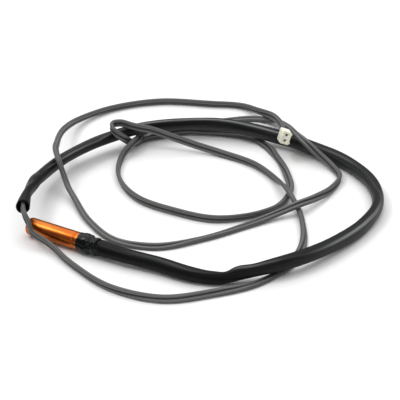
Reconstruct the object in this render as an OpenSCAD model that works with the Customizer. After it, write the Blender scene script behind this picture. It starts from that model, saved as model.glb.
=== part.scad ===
// Pipe temperature probe: a copper capsule with a thermistor potted in its tip, a shrunk boot,
// a soft black sleeve and a flat twin lead that ends in a small two-way connector.
// Millimetres. The capsule lies along X with its closed tip at -X, and everything rests on Z = 0.

/* [Capsule] */
// Outer diameter of the copper capsule
capsule_d = 6; // [5.4:0.1:8]
// Length of the capsule, tip to mouth
capsule_len = 25; // [22:0.5:32]
// Wall of the capsule
capsule_wall = 0.4; // [0.3:0.05:0.6]
// Radius of the drawn corner at the tip
tip_round = 1.2; // [0.8:0.1:2.2]
// Depth of the rolled groove that grips the filling
groove_depth = 0.15; // [0.05:0.05:0.25]
// Width of the rolled groove
groove_w = 0.8; // [0.5:0.1:1.2]
// Bare copper between the groove and the boot
groove_to_boot = 1.2; // [0.2:0.1:2]

/* [Thermistor and splices] */
// Diameter of the thermistor bead
bead_d = 2.4; // [2:0.1:3]
// Length of the thermistor bead
bead_len = 3.5; // [2.5:0.1:4.5]
// Distance from the outside of the tip to the bead
bead_depth = 2; // [1.2:0.1:2.5]
// Diameter of the bead's bare legs
leg_d = 0.3; // [0.2:0.05:0.4]
// Bare leg between the bead and its insulating tube
bare_leg = 1; // [0.5:0.1:1.5]
// Outer diameter of the tube on each leg
leg_tube_d = 1; // [0.8:0.05:1.2]
// Outer diameter of the crimped splice
splice_d = 1.2; // [1:0.05:1.3]
// Length of the crimped splice
splice_len = 3.5; // [2.5:0.1:4]
// Bare copper from the lead's insulation to the middle of its splice
head_strip = 3.5; // [2.5:0.1:4]

/* [Boot] */
// Length of the boot
boot_len = 13.7; // [12:0.1:20]
// Length of the boot over the capsule
boot_overlap = 4.7; // [4:0.1:8]
// Thickest wall of the boot over the capsule
boot_wall = 0.3; // [0.2:0.05:0.8]
// Length of the boot's tail inside the sleeve
boot_tail = 5.5; // [4:0.5:7]

/* [Sleeve] */
// Outer diameter of the sleeve where it is round
sleeve_d = 5; // [4.8:0.1:5.6]
// Wall of the sleeve
sleeve_wall = 0.5; // [0.3:0.05:0.6]
// How much the sleeve's radius is stretched where it is pulled over the boot
sleeve_stretch = 0.3; // [0.1:0.05:0.5]

/* [Lead] */
// Width of the flat twin lead
lead_w = 2.8; // [2.4:0.1:3]
// Thickness of the flat twin lead
lead_t = 1.4; // [1:0.1:1.5]
// Diameter of each copper core
core_d = 0.5; // [0.3:0.05:0.6]

/* [Connector] */
// Length of the connector housing, back to mating face
housing_len = 6; // [5.5:0.1:8]
// Thickness of the housing with its ribs
housing_w = 3.6; // [3.2:0.1:4.5]
// Width of the housing across its two ways
housing_h = 4.6; // [4.4:0.1:6]
// Distance between the two contacts
contact_pitch = 2; // [1.8:0.1:2.5]
// Side of each square cavity
cavity = 1.2; // [1.1:0.05:1.4]
// Wall of the housing at the mating face
face_wall = 0.6; // [0.4:0.1:1]
// Side of the square hole that a pin enters
pin_hole = 0.8; // [0.6:0.05:0.9]
// Height of the two ribs that stop the housing from going in the wrong way round
rib_h = 0.3; // [0.2:0.05:0.5]
// Depth of the slot that takes the end of the lead
slot_depth = 0.8; // [0.5:0.1:1.2]
// Thickness of the contact strip
strip_t = 0.15; // [0.1:0.01:0.2]

/* [Fits] */
// Clearance between the boot's tail and the sleeve
tail_fit = 0.05; // [0.02:0.01:0.15]
// Clearance round the lead in the boot, all round
lead_fit = 0.05; // [0.02:0.01:0.15]
// Clearance round the lead in the housing's slot, all round
slot_fit = 0.1; // [0.05:0.01:0.2]
// Clearance between a leg and its tube, all round
leg_fit = 0.05; // [0.02:0.01:0.1]
// Clearance between a contact and its cavity, on each side
contact_fit = 0.15; // [0.05:0.01:0.2]

/* [Hidden] */
round_fn = 64;
small_fn = 32;
// Cuts run past a face by this much
past = 0.5;

// The head: x runs from the tip, and the boot's tail ends it
capsule_r = capsule_d / 2;
bore_r = capsule_r - capsule_wall;
head_len = capsule_len - boot_overlap + boot_len;
tip_x = -head_len / 2;
axis_z = capsule_r + boot_wall;
boot_from = capsule_len - boot_overlap;
sleeve_from = head_len - boot_tail;
groove_from = boot_from - groove_to_boot - groove_w;
groove_steps_n = 8;
wire_pitch = lead_w / 2;
bead_end = bead_depth + bead_len;
lead_from = boot_from;
splice_from = lead_from - head_strip - splice_len / 2;
splice_mid = splice_from + splice_len / 2;
splice_end = splice_from + splice_len;
leg_tube_from = bead_end + bare_leg;

// The sleeve and the lead
sleeve_r = sleeve_d / 2;
sleeve_sides = 12;
lead_sides = 8;
// A flattened sleeve grows this share of what it loses across
growth = 0.5;
// The sleeve's second ring lies this far behind the end of the boot's tail
second_ring = 1.5;

// The connector, placed by the middle of its back
housing_back = [29, 91, 8.2];
housing_turn = [-20, -16, -52];
housing_r = rotation(housing_turn);
way_h = [contact_pitch / 2, -contact_pitch / 2];
// Bare core between the lead's end and its contact's barrel
slot_to_barrel = 0.9;
barrel_from = slot_depth + slot_to_barrel;
barrel_len = 1.2;
// Neck between a contact's barrel and its box
neck_len = 0.3;
// Bare core that leaves the lead's end before it bends out
straight_core = 0.15;
barrel_d = cavity - 2 * contact_fit;
box_from = barrel_from + barrel_len + neck_len;
box_to = housing_len - face_wall - contact_fit;
body_w = housing_w - rib_h;

// Route of the sleeve's middle: x, y, z, how wide the tube stays across its narrow way, as a share
// of its round size, and the turn of the narrow way from level, in degrees
SLEEVE_ROUTE = concat([for (x = [sleeve_from, head_len + second_ring]) [tip_x + x, 0, axis_z, 1, 0]], [
    [32, 1.5, 3, 1, 0], [46, 2.5, 2.7, 0.95, 0], [53, 5, 2.7, 0.85, 0], [59, 10, 3, 0.85, 0],
    [66, 17.5, 4.3, 0.85, 0], [71.5, 26.5, 4.5, 0.85, 0], [75.5, 39.5, 3.6, 0.85, 0],
    [78, 56.5, 2.8, 0.85, 0], [76, 72.5, 2.8, 0.8, -10], [67, 85, 2.8, 0.85, 0],
    [54, 92.5, 2.9, 0.85, 0], [38, 96, 2.9, 0.9, 0], [22, 95, 4.2, 0.9, 0], [6.5, 91, 5.5, 0.85, 20],
    [-7, 84, 5.8, 0.8, 45], [-18.5, 72.5, 6, 0.8, 50], [-25.5, 59, 5.9, 0.8, 50],
    [-29.5, 42, 6, 0.8, 45], [-29, 27.5, 6.8, 0.85, 40], [-25.5, 15, 8.8, 0.85, 25],
    [-21.5, 5, 10.3, 0.8, 10], [-18.5, -1, 10.6, 0.95, 10]]);

// Route of the lead's middle from the sleeve's mouth: x, y, z and the turn of its width in degrees,
// 0 and 180 flat, 90 on edge
FREE_ROUTE = [
    [-16, -3.5, 9.2, 90], [-14, -4.5, 7.5, 90], [-12, -5.5, 5, 80], [-9.5, -5.5, 3.9, 74],
    [-6.5, -5.5, 3, 74], [-2.5, -6.5, 2.2, 78], [3, -9, 1.6, 78], [9, -11.5, 1.4, 80],
    [27, -16.5, 1.4, 88], [43.5, -13.5, 1.4, 118], [55.5, -2, 1.3, 135], [64.5, 11.5, 0.8, 180],
    [67.5, 24, 0.8, 180], [66, 37.5, 1, 150], [58.5, 51.5, 1.4, 120], [53, 58.5, 1.5, 130],
    [48.5, 62, 3.3, 134], [43.5, 66.5, 3.3, 140], [38, 71, 2, 112], [25, 77.5, 1.5, 98],
    [12, 78.5, 1.5, 80], [1.5, 77, 2.8, 82], [-6.5, 73.5, 5.6, 86], [-13.5, 71, 7.6, 90],
    [-16.5, 68.5, 8.7, 90], [-19, 67, 9.5, 90], [-22.5, 66, 10.1, 90], [-24.5, 64, 10.1, 90],
    [-23.5, 61.5, 10, 90], [-21.5, 60.5, 9.2, 90], [-19.5, 61.5, 7.5, 90], [-19, 64, 5.2, 95],
    [-19, 67, 2.8, 110], [-19.5, 70.5, 1, 160], [-18, 75, 0.8, 175], [-14, 80.5, 1.2, 140],
    [-8.5, 86.5, 1.4, 125], [-3, 89.5, 1.4, 120], [5, 93, 1.2, 140], [13, 95, 0.8, 175],
    [21, 92.5, 0.9, 165], [29.5, 86, 1.4, 100], [38.5, 77, 1.3, 138], [44.5, 68.5, 1.1, 135],
    [46, 60.5, 1, 145], [43.5, 50, 1.3, 125], [33, 38.5, 1.4, 92], [17.5, 35.5, 1.5, 90],
    [3, 36.5, 1.5, 90], [-10, 45, 1.5, 104], [-16, 54.5, 1.6, 98], [-17.5, 59.5, 2.2, 98],
    [-17, 63, 4, 92], [-17, 66, 4.3, 100], [-17.5, 69, 3.4, 140], [-19, 72.5, 2.7, 175],
    [-21, 77, 1.8, 180], [-20, 83, 0.9, 180], [-13.5, 89, 0.8, 180], [-2, 100, 0.8, 180],
    [9, 108.5, 0.9, 172], [15, 109, 1.6, 182], [24.5, 102, 5.2, 190], [33, 94, 7.7, 190],
    [38, 92, 6.6, 150], [42.5, 91.5, 4.2, 120], [48.5, 90, 2.1, 102], [54.5, 85.5, 1.5, 100],
    [56.5, 76, 1.6, 80], [55.5, 66, 2.6, 42], [53.5, 57.5, 3.7, 26], [49.5, 52, 2.2, 18],
    [43, 40.5, 0.9, 2], [34.5, 25.5, 0.8, -15], [24, 13, 1, 28], [11.5, 10, 0.8, 5],
    [-3.5, 16, 0.9, -16], [-15.5, 25, 2, -40], [-20.5, 28.5, 3.6, -43], [-23.5, 30.5, 6.4, -47],
    [-26.5, 32.5, 9.7, -50], [-30, 36, 10.7, -53], [-35, 44, 9.1, -68], [-42, 59, 5.6, -90],
    [-44.5, 72.5, 2.6, -108], [-41, 86.5, 1.4, -116], [-28, 101.5, 1.3, -120], [-12, 109, 1.3, -120],
    [0, 113.5, 1.4, -115], [8, 111, 2.6, -102], [15.5, 107, 4.6, -82], [22, 100.5, 6.9, -70],
    [25.5, 96.5, 7.9, -70]];
// The lead's twist inside the head and the sleeve, where its width lies along the wide way, and in
// the connector
edge_on = 90;
end_twist = -90 - housing_turn[0];
LEAD_ROUTE = concat([[tip_x + lead_from, 0, axis_z, edge_on]],
    [for (p = SLEEVE_ROUTE) [p[0], p[1], p[2], edge_on + p[4]]],
    FREE_ROUTE,
    [for (d = [0, slot_depth]) concat(housing_back + d * housing_r[0], [end_twist])]);

// Directions of a piece's own x, y and z after rotate([a, b, c])
function rotation(t) = [
    [cos(t[1]) * cos(t[2]), cos(t[1]) * sin(t[2]), -sin(t[1])],
    [sin(t[0]) * sin(t[1]) * cos(t[2]) - cos(t[0]) * sin(t[2]),
        sin(t[0]) * sin(t[1]) * sin(t[2]) + cos(t[0]) * cos(t[2]), sin(t[0]) * cos(t[1])],
    [cos(t[0]) * sin(t[1]) * cos(t[2]) + sin(t[0]) * sin(t[2]),
        cos(t[0]) * sin(t[1]) * sin(t[2]) - sin(t[0]) * cos(t[2]), cos(t[0]) * cos(t[1])]];
function arc(c, r, from, to, steps = 8) =
    [for (i = [0 : steps]) c + r * [cos(from + (to - from) * i / steps), sin(from + (to - from) * i / steps)]];
function oval(half_w, half_t, sides) =
    [for (k = [0 : sides - 1]) [half_w * cos(360 * k / sides), half_t * sin(360 * k / sides)]];

// A swept section. Each ring stands square to the route, with its width turned from the level
// direction by the twist.
function xyz(p) = [p[0], p[1], p[2]];
function unit(v) = v / norm(v);
function leg_v(P, i) = unit(xyz(P[i + 1]) - xyz(P[i]));
function leg_l(P, i) = norm(xyz(P[i + 1]) - xyz(P[i]));
function heading(P, i) =
    i == 0 ? leg_v(P, 0) :
    i == len(P) - 1 ? leg_v(P, i - 1) :
    unit(leg_v(P, i - 1) * leg_l(P, i) + leg_v(P, i) * leg_l(P, i - 1));
function ring(P, i, half_w, half_t, twist, sides) =
    let (t = heading(P, i), side = unit(cross(t, [0, 0, 1])), up = cross(side, t),
        w = side * cos(twist) + up * sin(twist), n = cross(t, w))
    [for (p = oval(half_w, half_t, sides)) xyz(P[i]) + p[0] * w + p[1] * n];
function flat(lists) = [for (l = lists) for (p = l) p];
// Triangles of the wall over all rings; the first ring starts at point number start
function wall_faces(rings, sides, start = 0, inward = false) =
    [for (i = [0 : rings - 2]) for (k = [0 : sides - 1])
        let (a = start + i * sides + k, b = start + i * sides + (k + 1) % sides)
        each inward ? [[a, b + sides, a + sides], [a, b, b + sides]]
            : [[a, a + sides, b + sides], [a, b + sides, b]]];
function rim_faces(outer, inner, sides) =
    [for (k = [0 : sides - 1]) let (n = (k + 1) % sides)
        each [[outer + k, outer + n, inner + n], [outer + k, inner + n, inner + k]]];
// A solid sweep: its wall and its two flat ends
function swept_faces(rings, sides) = concat(wall_faces(rings, sides), [[for (k = [0 : sides - 1]) k]],
    [[for (k = [sides - 1 : -1 : 0]) (rings - 1) * sides + k]]);
function turned(faces) = [for (f = faces) [f[2], f[1], f[0]]];

function sleeve_ring(i, bore) =
    let (s = SLEEVE_ROUTE[i][3], add = (i == 0 ? sleeve_stretch : 0) - (bore ? sleeve_wall : 0),
        grow = bore ? 1 / cos(180 / sleeve_sides) : 1)
    ring(SLEEVE_ROUTE, i, (sleeve_r * s + add) * grow, (sleeve_r * (1 + growth * (1 - s)) + add) * grow,
        SLEEVE_ROUTE[i][4], sleeve_sides);
// Radius of the sleeve's bore over the boot's tail, at x from the tip
function tail_r(x) =
    sleeve_r - sleeve_wall - tail_fit
    + sleeve_stretch * (head_len + second_ring - x) / (boot_tail + second_ring);

// Puts a piece made along Z from the tip on the head's axis
module on_axis() {
    translate([tip_x, 0, axis_z]) rotate([0, 90, 0]) children();
}
// Puts a piece made along Z on one of the two wires: way 0 above, way 1 below
module on_wire(way) {
    on_axis() translate([(way == 0 ? -1 : 1) * wire_pitch / 2, 0, 0]) children();
}
// Puts a piece made along X from the housing's back in the housing
module in_housing() {
    translate(housing_back) rotate(housing_turn) children();
}

// Inside of the capsule, from the axis at the tip to the mouth
function capsule_inside() = concat(
    [[0, capsule_wall]],
    arc([capsule_r - tip_round, tip_round], tip_round - capsule_wall, -90, 0),
    groove_steps(bore_r), [[bore_r, capsule_len]]);
// A round-bottomed groove that a wheel rolls in
function groove_steps(r) = [for (i = [0 : groove_steps_n])
    [r - groove_depth * pow(sin(180 * i / groove_steps_n), 2), groove_from + groove_w * i / groove_steps_n]];
function reversed(l) = [for (i = [len(l) - 1 : -1 : 0]) l[i]];

module capsule() {
    color("#c8641e") on_axis() rotate_extrude($fn = round_fn) polygon(concat(
        [[0, 0]], arc([capsule_r - tip_round, tip_round], tip_round, -90, 0),
        groove_steps(capsule_r), [[capsule_r, capsule_len]], reversed(capsule_inside())));
}

// Fills the capsule round the bead, the legs, the splices and the end of the lead
module potting() {
    color("#3a3a3c") difference() {
        on_axis() rotate_extrude($fn = round_fn)
            polygon(concat(capsule_inside(), [[0, capsule_len]]));
        bead_form();
        for (way = [0, 1]) {
            on_wire(way) rod(bead_end - past, leg_tube_from + past, leg_d);
            on_wire(way) rod(leg_tube_from, splice_from, leg_tube_d);
            on_wire(way) rod(splice_from, splice_end, splice_d);
            on_wire(way) rod(splice_end - past, lead_from + past, core_d);
        }
        lead_passage(lead_from, capsule_len + past, 0);
    }
}
module rod(from, to, d) {
    translate([0, 0, from]) cylinder(h = to - from, d = d, $fn = small_fn);
}
// A straight passage for the lead along the head's axis
module lead_passage(from, to, fit) {
    on_axis() translate([0, 0, from]) linear_extrude(to - from)
        polygon(oval(lead_w / 2 + fit, lead_t / 2 + fit, lead_sides));
}

// A dipped bead: round in front, with a flat back where its legs leave
module bead_form() {
    bead_r = bead_d / 2;
    on_axis() translate([0, 0, bead_depth]) rotate_extrude($fn = small_fn) polygon(concat(
        arc([0, bead_r], bead_r, -90, 0),
        [[bead_r, bead_len - bead_r / 4], [bead_r * 0.9, bead_len], [0, bead_len]]));
}
module thermistor_bead() {
    color("#2b3a55") bead_form();
}

module thermistor_leg(way) {
    color("#c7c9cc") on_wire(way) rod(bead_end, splice_mid, leg_d);
}
module leg_tube(way) {
    color("#e8e4d8") on_wire(way) difference() {
        rod(leg_tube_from, splice_from, leg_tube_d);
        rod(leg_tube_from - past, splice_from + past, leg_d + 2 * leg_fit);
    }
}
// A ferrule crimped on the leg at one end and on the lead's core at the other
module splice(way) {
    color("#b9bcc0") on_wire(way) difference() {
        rod(splice_from, splice_end, splice_d);
        rod(splice_from - past, splice_mid, leg_d);
        rod(splice_mid, splice_end + past, core_d);
    }
}

// The stripped ends of one copper core: at the splice, and bent out to the contact's barrel
module core(way) {
    side = way == 0 ? 1 : -1;
    h0 = side * wire_pitch / 2;
    h1 = way_h[way];
    bends = [[slot_depth, 0, h0], [slot_depth + straight_core, 0, h0], [barrel_from, 0, h1],
        [barrel_from + barrel_len, 0, h1]];
    n = len(bends);
    color("#d98a4a") {
        on_wire(way) rod(splice_mid, lead_from, core_d);
        in_housing() polyhedron(
            points = flat([for (i = [0 : n - 1]) ring(bends, i, core_d / 2, core_d / 2, 0, sleeve_sides)]),
            faces = swept_faces(n, sleeve_sides));
    }
}

// Shrunk over the capsule's mouth, with two lumps, and drawn in to a tail that fills the sleeve
module boot() {
    lump_len = sleeve_from - boot_from;
    // Crests and waists: how far along as a share, and the radius there
    lumps = [[0, capsule_r + boot_wall * 0.8], [0.33, axis_z], [0.72, capsule_r + boot_wall * 0.2],
        [0.86, capsule_r + boot_wall * 0.7], [0.99, tail_r(sleeve_from)]];
    outline = [for (i = [0 : len(lumps) - 2]) for (k = [0 : 5])
        let (a = lumps[i], b = lumps[i + 1], e = (1 - cos(30 * k)) / 2)
        [a[1] + (b[1] - a[1]) * e, boot_from + lump_len * (a[0] + (b[0] - a[0]) * k / 6)]];
    color("#1a2220") difference() {
        on_axis() rotate_extrude($fn = round_fn) polygon(concat(outline, [
            [tail_r(sleeve_from), sleeve_from], [tail_r(head_len), head_len],
            [0, head_len], [0, capsule_len], [capsule_r, capsule_len], [capsule_r, boot_from]]));
        lead_passage(capsule_len - past, head_len + past, lead_fit);
    }
}

module sleeve() {
    n = len(SLEEVE_ROUTE);
    last = (n - 1) * sleeve_sides;
    inner = n * sleeve_sides;
    color("#262626") polyhedron(
        points = concat(flat([for (i = [0 : n - 1]) sleeve_ring(i, false)]),
            flat([for (i = [0 : n - 1]) sleeve_ring(i, true)])),
        faces = concat(wall_faces(n, sleeve_sides), wall_faces(n, sleeve_sides, inner, true),
            rim_faces(0, inner, sleeve_sides), turned(rim_faces(last, inner + last, sleeve_sides))));
}

module lead() {
    n = len(LEAD_ROUTE);
    color("#606060") polyhedron(
        points = flat([for (i = [0 : n - 1])
            ring(LEAD_ROUTE, i, lead_w / 2, lead_t / 2, LEAD_ROUTE[i][3], lead_sides)]),
        faces = swept_faces(n, lead_sides));
}

// Moulded housing: chamfered corners, two keying ribs, a slot for the lead at the back, two square
// cavities, a stepped pin hole in front of each and a window for each contact's lance
module connector_housing() {
    y0 = -housing_w / 2;
    y1 = y0 + body_w;
    half_h = housing_h / 2;
    corner = 0.3;
    rib_w = 0.6;
    // The ribs stand this far in from the ends of the wide face
    rib_in = 0.5;
    inner_end = half_h - rib_in - rib_w;
    section = [
        [y0, -half_h + corner], [y0 + corner, -half_h], [y1 - corner, -half_h], [y1, -half_h + corner],
        [y1, -half_h + rib_in], [y1 + rib_h, -half_h + rib_in], [y1 + rib_h, -inner_end], [y1, -inner_end],
        [y1, inner_end], [y1 + rib_h, inner_end], [y1 + rib_h, half_h - rib_in], [y1, half_h - rib_in],
        [y1, half_h - corner], [y1 - corner, half_h], [y0 + corner, half_h], [y0, half_h - corner]];
    mid_y = (y0 + y1) / 2;
    step = 0.25;
    color("#f5f5e8") in_housing() translate([0, -mid_y, 0]) difference() {
        rotate([90, 0, 90]) linear_extrude(housing_len) polygon(section);
        translate([-past, mid_y - lead_t / 2 - slot_fit, -lead_w / 2 - slot_fit])
            cube([slot_depth + past, lead_t + 2 * slot_fit, lead_w + 2 * slot_fit]);
        for (h = way_h) translate([0, mid_y, h]) {
            square_hole(slot_depth - past / 2, housing_len - face_wall, cavity);
            square_hole(housing_len - face_wall - past, housing_len + past, pin_hole);
            square_hole(housing_len - step, housing_len + past, pin_hole + 2 * step);
            translate([box_from, -housing_w, -pin_hole / 2])
                cube([window_len(), housing_w, pin_hole]);
        }
    }
}
function window_len() = (box_to - box_from) * 0.6;
module square_hole(from, to, side) {
    translate([from, -side / 2, -side / 2]) cube([to - from, side, side]);
}

// Crimp contact: a barrel on the core, a neck and a square box with a sprung lance
module contact(way) {
    side = barrel_d;
    lance = 0.3;
    color("#c9c4b5") in_housing() translate([0, 0, way_h[way]]) difference() {
        union() {
            translate([barrel_from, 0, 0]) rotate([0, 90, 0])
                cylinder(h = barrel_len, d = barrel_d, $fn = small_fn);
            translate([barrel_from + barrel_len / 2, side / 2 - strip_t, -core_d / 2])
                cube([box_from - barrel_from, strip_t, core_d]);
            square_hole(box_from, box_to, side);
            translate([box_from + contact_fit, -side / 2 - lance, -core_d / 2])
                cube([window_len() * 0.7, lance + strip_t, core_d]);
        }
        translate([barrel_from - past, 0, 0]) rotate([0, 90, 0])
            cylinder(h = barrel_len + 2 * past, d = core_d, $fn = small_fn);
        square_hole(box_from - past, box_to + past, side - 2 * strip_t);
    }
}

capsule();
potting();
thermistor_bead();
thermistor_leg(0);  // leg_a
thermistor_leg(1);  // leg_b
leg_tube(0);  // leg_tube_a
leg_tube(1);  // leg_tube_b
splice(0);  // splice_a
splice(1);  // splice_b
boot();
sleeve();
lead();
core(0);  // core_a
core(1);  // core_b
connector_housing();
contact(0);  // contact_a
contact(1);  // contact_b
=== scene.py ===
# %% [markdown]
# # A pipe temperature probe, dressed for the camera
#
# The real object is a copper capsule with a thermistor inside, a black shrunk boot, a soft black
# sleeve and 1.2 metres of flat twin lead that ends in a tiny white connector. The solids come from
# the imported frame. The inner ones stay as they are. Those that are seen get a true skin here, built
# from the same sizes and routes as the solid model, and everything is lit like a product picture
# on white.

# %% Load the frame
import math

import bmesh
import bpy
import numpy as np
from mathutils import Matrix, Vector


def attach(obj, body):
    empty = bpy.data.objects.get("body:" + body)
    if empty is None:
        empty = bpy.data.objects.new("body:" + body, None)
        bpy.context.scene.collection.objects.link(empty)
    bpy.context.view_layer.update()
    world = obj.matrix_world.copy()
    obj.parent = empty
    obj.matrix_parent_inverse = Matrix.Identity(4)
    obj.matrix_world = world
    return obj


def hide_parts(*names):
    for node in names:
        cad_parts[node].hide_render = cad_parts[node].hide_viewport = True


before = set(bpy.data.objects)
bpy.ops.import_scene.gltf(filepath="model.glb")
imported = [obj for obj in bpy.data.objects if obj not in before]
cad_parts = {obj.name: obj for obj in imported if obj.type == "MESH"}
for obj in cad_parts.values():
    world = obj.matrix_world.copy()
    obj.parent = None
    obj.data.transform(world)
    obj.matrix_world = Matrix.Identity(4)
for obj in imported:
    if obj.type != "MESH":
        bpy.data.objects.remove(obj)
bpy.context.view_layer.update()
MM = 0.001

# %% [markdown]
# ## The camera
#
# The photograph is taken from 30 degrees above the table with a long lens: the wide ring of sleeve
# shows almost no perspective. A long lens far away gives that. The direction is given as a bearing
# round the object and a height, because those are easy to change by hand.

# %% Camera
LOOK_AT = Vector((20.28, 48.59, 0)) * MM
BEARING = math.radians(30.83)
ELEVATION = math.radians(30)
DISTANCE = 820 * MM
LENS_MM = 216

to_camera = Vector((math.sin(BEARING) * math.cos(ELEVATION),
                    -math.cos(BEARING) * math.cos(ELEVATION), math.sin(ELEVATION)))
camera = bpy.data.objects.new("camera", bpy.data.cameras.new("camera"))
bpy.context.scene.collection.objects.link(camera)
camera.location = LOOK_AT + to_camera * DISTANCE
camera.rotation_euler = to_camera.to_track_quat("Z", "Y").to_euler()
camera.data.lens = LENS_MM
camera.data.clip_start, camera.data.clip_end = 0.01, 20
bpy.context.scene.camera = camera
print("camera stands", round(camera.location.z, 3), "m above the table")

# %% [markdown]
# ## One curve through the points of a route
#
# A cord that lies on a table bends smoothly, so the given points of a route are joined by a
# cubic curve that passes through every one of them. The speed of the curve at a point is the mean
# of the two legs that meet there, weighted so that a short leg beside a long one doesn't overshoot.
# The numbers after x, y and z ride along with them.

# %% Smooth routes
def smooth_route(route, step):
    p = np.array(route, float)
    leg = np.linalg.norm(np.diff(p[:, :3], axis=0), axis=1)[:, None]
    pace = np.diff(p, axis=0) / leg
    middle = (pace[:-1] * leg[1:] + pace[1:] * leg[:-1]) / (leg[1:] + leg[:-1])
    pace = np.vstack([pace[:1], middle, pace[-1:]])
    points = []
    for i, length in enumerate(leg[:, 0]):
        count = max(2, round(length / step))
        t = (np.arange(count) / count)[:, None]
        points.append((2 * t**3 - 3 * t**2 + 1) * p[i] + (t**3 - 2 * t**2 + t) * length * pace[i]
                      + (3 * t**2 - 2 * t**3) * p[i + 1] + (t**3 - t**2) * length * pace[i + 1])
    return np.vstack([*points, p[-1:]])


# %% [markdown]
# ## Where the cords lie
#
# The head's axis runs along X, 3.3 mm above the table, and the boot ends 17 mm from the middle. The
# sleeve starts on the boot's tail, goes once round and ends open beside the capsule's tip. The lead
# runs through it, comes out of the open end and makes three and a half loose turns. The numbers are
# the same as in the solid model: x, y, z in millimetres. The sleeve's fourth number is the size of
# its narrow way as a share of its round size, and its fifth is how far its oval leans over. The
# lead's fourth number is the turn of its width in degrees, where 0 and 180 are flat and 90 is on
# edge. Each cord is then drawn by its smooth curve with a point about every half millimetre.

# %% Routes
HEAD_Z = 3.3
CAPSULE_TIP = -17.0
CAPSULE_LEN = 25.0
CAPSULE_D = 6.0
BOOT_FROM = 3.3
BOOT_TO = 17.0
SLEEVE_FROM = 11.5
SLEEVE_ROUTE = [
    (SLEEVE_FROM, 0, HEAD_Z, 1, 0), (18.5, 0, HEAD_Z, 1, 0), (32, 1.5, 3, 1, 0),
    (46, 2.5, 2.7, 0.95, 0), (53, 5, 2.7, 0.85, 0), (59, 10, 3, 0.85, 0), (66, 17.5, 4.3, 0.85, 0),
    (71.5, 26.5, 4.5, 0.85, 0), (75.5, 39.5, 3.6, 0.85, 0), (78, 56.5, 2.8, 0.85, 0),
    (76, 72.5, 2.8, 0.8, -10), (67, 85, 2.8, 0.85, 0), (54, 92.5, 2.9, 0.85, 0),
    (38, 96, 2.9, 0.9, 0), (22, 95, 4.2, 0.9, 0), (6.5, 91, 5.5, 0.85, 20), (-7, 84, 5.8, 0.8, 45),
    (-18.5, 72.5, 6, 0.8, 50), (-25.5, 59, 5.9, 0.8, 50), (-29.5, 42, 6, 0.8, 45),
    (-29, 27.5, 6.8, 0.85, 40),
    (-25.5, 15, 8.8, 0.85, 25), (-21.5, 5, 10.3, 0.8, 10), (-18.5, -1, 10.6, 0.95, 10)]
ON_EDGE = 90
FREE_ROUTE = [
    (-16, -3.5, 9.2, 90), (-14, -4.5, 7.5, 90), (-12, -5.5, 5, 80), (-9.5, -5.5, 3.9, 74),
    (-6.5, -5.5, 3, 74), (-2.5, -6.5, 2.2, 78), (3, -9, 1.6, 78), (9, -11.5, 1.4, 80),
    (27, -16.5, 1.4, 88), (43.5, -13.5, 1.4, 118), (55.5, -2, 1.3, 135), (64.5, 11.5, 0.8, 180),
    (67.5, 24, 0.8, 180), (66, 37.5, 1, 150), (58.5, 51.5, 1.4, 120), (53, 58.5, 1.5, 130),
    (48.5, 62, 3.3, 134), (43.5, 66.5, 3.3, 140), (38, 71, 2, 112), (25, 77.5, 1.5, 98),
    (12, 78.5, 1.5, 80), (1.5, 77, 2.8, 82), (-6.5, 73.5, 5.6, 86), (-13.5, 71, 7.6, 90),
    (-16.5, 68.5, 8.7, 90), (-19, 67, 9.5, 90), (-22.5, 66, 10.1, 90), (-24.5, 64, 10.1, 90),
    (-23.5, 61.5, 10, 90), (-21.5, 60.5, 9.2, 90), (-19.5, 61.5, 7.5, 90), (-19, 64, 5.2, 95),
    (-19, 67, 2.8, 110), (-19.5, 70.5, 1, 160), (-18, 75, 0.8, 175), (-14, 80.5, 1.2, 140),
    (-8.5, 86.5, 1.4, 125), (-3, 89.5, 1.4, 120), (5, 93, 1.2, 140), (13, 95, 0.8, 175),
    (21, 92.5, 0.9, 165), (29.5, 86, 1.4, 100), (38.5, 77, 1.3, 138), (44.5, 68.5, 1.1, 135),
    (46, 60.5, 1, 145), (43.5, 50, 1.3, 125), (33, 38.5, 1.4, 92), (17.5, 35.5, 1.5, 90),
    (3, 36.5, 1.5, 90), (-10, 45, 1.5, 104), (-16, 54.5, 1.6, 98), (-17.5, 59.5, 2.2, 98),
    (-17, 63, 4, 92), (-17, 66, 4.3, 100), (-17.5, 69, 3.4, 140), (-19, 72.5, 2.7, 175),
    (-21, 77, 1.8, 180), (-20, 83, 0.9, 180), (-13.5, 89, 0.8, 180), (-2, 100, 0.8, 180),
    (9, 108.5, 0.9, 172), (15, 109, 1.6, 182), (24.5, 102, 5.2, 190), (33, 94, 7.7, 190),
    (38, 92, 6.6, 150), (42.5, 91.5, 4.2, 120), (48.5, 90, 2.1, 102), (54.5, 85.5, 1.5, 100),
    (56.5, 76, 1.6, 80), (55.5, 66, 2.6, 42), (53.5, 57.5, 3.7, 26), (49.5, 52, 2.2, 18),
    (43, 40.5, 0.9, 2), (34.5, 25.5, 0.8, -15), (24, 13, 1, 28), (11.5, 10, 0.8, 5),
    (-3.5, 16, 0.9, -16), (-15.5, 25, 2, -40), (-20.5, 28.5, 3.6, -43), (-23.5, 30.5, 6.4, -47),
    (-26.5, 32.5, 9.7, -50), (-30, 36, 10.7, -53), (-35, 44, 9.1, -68), (-42, 59, 5.6, -90),
    (-44.5, 72.5, 2.6, -108), (-41, 86.5, 1.4, -116), (-28, 101.5, 1.3, -120),
    (-12, 109, 1.3, -120), (0, 113.5, 1.4, -115), (8, 111, 2.6, -102), (15.5, 107, 4.6, -82),
    (22, 100.5, 6.9, -70), (25.5, 96.5, 7.9, -70)]
HOUSING_BACK = np.array([29, 91, 8.2])
HOUSING_TURN = (-20, -16, -52)
SLOT_DEPTH = 0.8
tilt, yaw = math.radians(HOUSING_TURN[1]), math.radians(HOUSING_TURN[2])
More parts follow.
